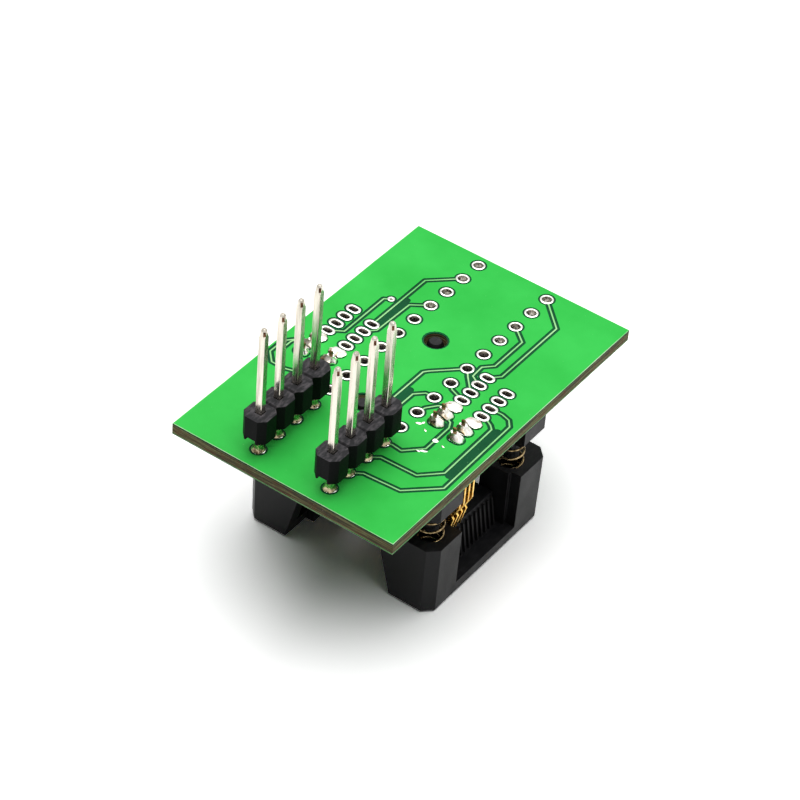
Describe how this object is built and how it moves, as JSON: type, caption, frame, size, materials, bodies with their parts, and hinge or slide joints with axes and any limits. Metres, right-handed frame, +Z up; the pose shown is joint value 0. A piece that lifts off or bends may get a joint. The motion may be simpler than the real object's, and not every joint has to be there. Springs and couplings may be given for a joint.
{
  "type": "ic programming adapter",
  "caption": "Small circuit board with two rows of header pins on one side and an open-top chip test socket with a sprung press cover on the other.",
  "frame": {"origin": "on the table the adapter stands on, under the middle of the circuit board", "axes": "+Z up, along the header pins; +Y along the board's long side, away from the pins; +X to the right seen from the pin end"},
  "size_m": [0.0234, 0.0364, 0.0308],
  "materials": {
    "board": "green solder mask on a brown glass-fibre laminate, satin",
    "header_plastic": "black moulded plastic, satin",
    "header_pin": "tin-plated brass, warm white and fairly bright",
    "solder": "bright solder with a little flux",
    "socket_plastic": "black moulded high-temperature plastic, satin",
    "spring_steel": "drawn wire",
    "contact_gold": "gold-plated stamping"
  },
  "bodies": {
    "adapter": {"circuit_board": "board", "header_housing_left": "header_plastic", "header_housing_right": "header_plastic", "header_pin_left_1": "header_pin", "header_pin_left_2": "header_pin", "header_pin_left_3": "header_pin", "header_pin_left_4": "header_pin", "header_pin_right_1": "header_pin", "header_pin_right_2": "header_pin", "header_pin_right_3": "header_pin", "header_pin_right_4": "header_pin", "header_solder_left_1": "solder", "header_solder_left_2": "solder", "header_solder_left_3": "solder", "header_solder_left_4": "solder", "header_solder_right_1": "solder", "header_solder_right_2": "solder", "header_solder_right_3": "solder", "header_solder_right_4": "solder", "contact_solder_left_1": "solder", "contact_solder_left_2": "solder", "contact_solder_left_3": "solder", "contact_solder_left_4": "solder", "contact_solder_left_5": "solder", "contact_solder_left_6": "solder", "contact_solder_right_1": "solder", "contact_solder_right_2": "solder", "contact_solder_right_3": "solder", "contact_solder_right_4": "solder", "contact_solder_right_5": "solder", "contact_solder_right_6": "solder", "socket_base": "socket_plastic", "spring_front_left": "spring_steel", "spring_front_right": "spring_steel", "spring_back_left": "spring_steel", "spring_back_right": "spring_steel", "contact_left_1": "contact_gold", "contact_left_2": "contact_gold", "contact_left_3": "contact_gold", "contact_left_4": "contact_gold", "contact_right_1": "contact_gold", "contact_right_2": "contact_gold", "contact_right_3": "contact_gold", "contact_right_4": "contact_gold"},
    "press_cover": {"socket_cover": "socket_plastic"}
  },
  "joints": [
    {"name": "cover_press", "type": "slide", "parent": "adapter", "child": "press_cover", "axis": [0, 0, 1], "range_m": [0, 0.0025], "stiffness_N_per_m": 2000, "springref_m": -0.002, "deforming": ["spring_front_left", "spring_front_right", "spring_back_left", "spring_back_right"]}
  ]
}
